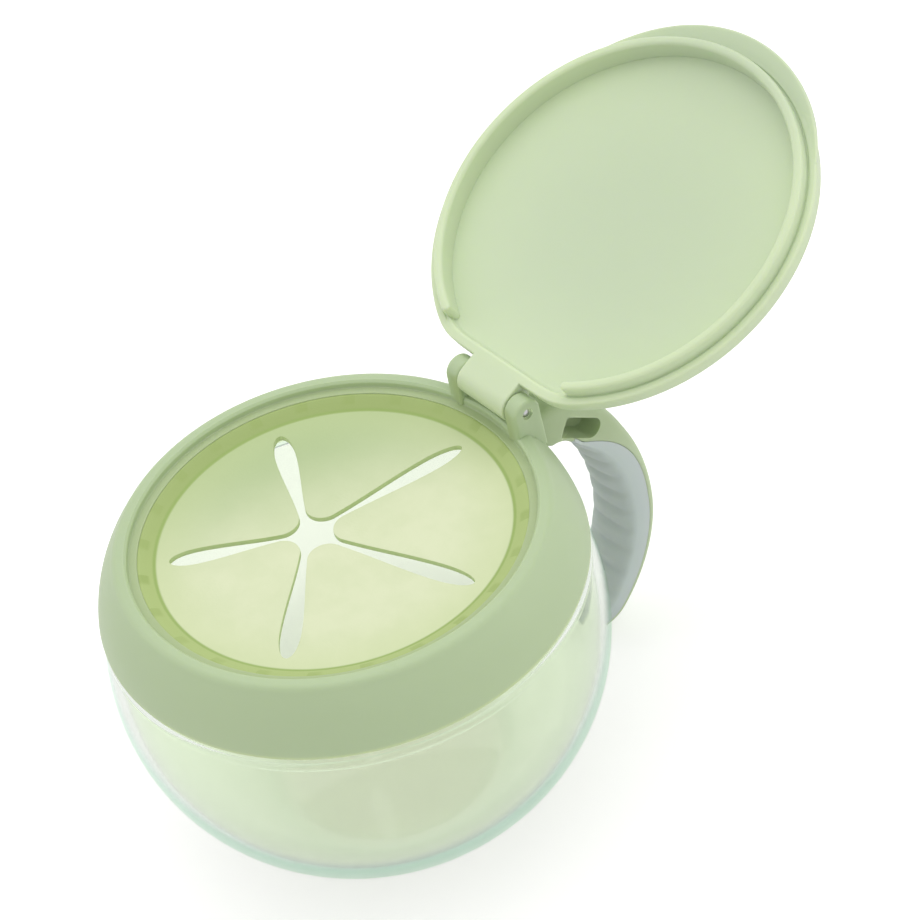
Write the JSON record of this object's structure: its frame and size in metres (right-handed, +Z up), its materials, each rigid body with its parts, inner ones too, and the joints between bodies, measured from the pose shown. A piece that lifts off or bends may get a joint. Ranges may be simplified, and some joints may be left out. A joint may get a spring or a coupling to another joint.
{
  "type": "toddler snack container",
  "caption": "Round spill-resistant snack cup with a screw-on collar, soft flap insert, hinged lid and a curved side handle.",
  "frame": {"origin": "centre of the cup's flat base, on the table", "axes": "+Z up along the cup's axis, +Y towards the handle and the lid's hinge, +X to the right seen from the front"},
  "size_m": [0.1052, 0.1777, 0.1225],
  "materials": {
    "clear_cup": "clear pale mint, polished",
    "green_shell": "satin moulded plastic",
    "green_lid": "satin moulded plastic, slightly translucent",
    "soft_grip": "matte soft-touch rubber with cross ridges",
    "soft_insert": "matte translucent soft elastomer",
    "steel_pin": "plain steel"
  },
  "bodies": {
    "cup": {"cup": "clear_cup"},
    "insert": {"insert_ring": "soft_insert"},
    "collar": {"collar": "green_shell", "handle": "green_shell", "handle_grip": "soft_grip", "hinge_pin": "steel_pin"},
    "lid": {"lid": "green_lid"},
    "flap_1": {"flap_1": "soft_insert"},
    "flap_2": {"flap_2": "soft_insert"},
    "flap_3": {"flap_3": "soft_insert"},
    "flap_4": {"flap_4": "soft_insert"},
    "flap_5": {"flap_5": "soft_insert"}
  },
  "joints": [
    {"name": "collar_lift", "type": "slide", "parent": "cup", "child": "insert", "axis": [0, 0, 1], "range_m": [0, 0.012]},
    {"name": "collar_turn", "type": "hinge", "parent": "insert", "child": "collar", "pos_m": [0, 0, 0.07], "axis": [0, 0, 1], "range_deg": [0, 360]},
    {"name": "lid_hinge", "type": "hinge", "parent": "collar", "child": "lid", "pos_m": [0, 0.0442, 0.08016], "axis": [1, 0, 0], "range_deg": [0, 155.2]},
    {"name": "flap_1_fold", "type": "hinge", "parent": "insert", "child": "flap_1", "pos_m": [-0.01617, 0.02225, 0.071], "axis": [0.809, 0.5878, 0], "range_deg": [-50, 70], "stiffness_Nm_per_rad": 0.02},
    {"name": "flap_2_fold", "type": "hinge", "parent": "insert", "child": "flap_2", "pos_m": [-0.02616, -0.0085, 0.071], "axis": [-0.309, 0.9511, 0], "range_deg": [-50, 70], "stiffness_Nm_per_rad": 0.02},
    {"name": "flap_3_fold", "type": "hinge", "parent": "insert", "child": "flap_3", "pos_m": [0, -0.02751, 0.071], "axis": [-1, 0, 0], "range_deg": [-50, 70], "stiffness_Nm_per_rad": 0.02},
    {"name": "flap_4_fold", "type": "hinge", "parent": "insert", "child": "flap_4", "pos_m": [0.02616, -0.0085, 0.071], "axis": [-0.309, -0.9511, 0], "range_deg": [-50, 70], "stiffness_Nm_per_rad": 0.02},
    {"name": "flap_5_fold", "type": "hinge", "parent": "insert", "child": "flap_5", "pos_m": [0.01617, 0.02225, 0.071], "axis": [0.809, -0.5878, 0], "range_deg": [-50, 70], "stiffness_Nm_per_rad": 0.02}
  ],
  "couplings": [
    {"joint": "collar_lift", "follows": "collar_turn", "m_per_rad": 0.0019099}
  ]
}
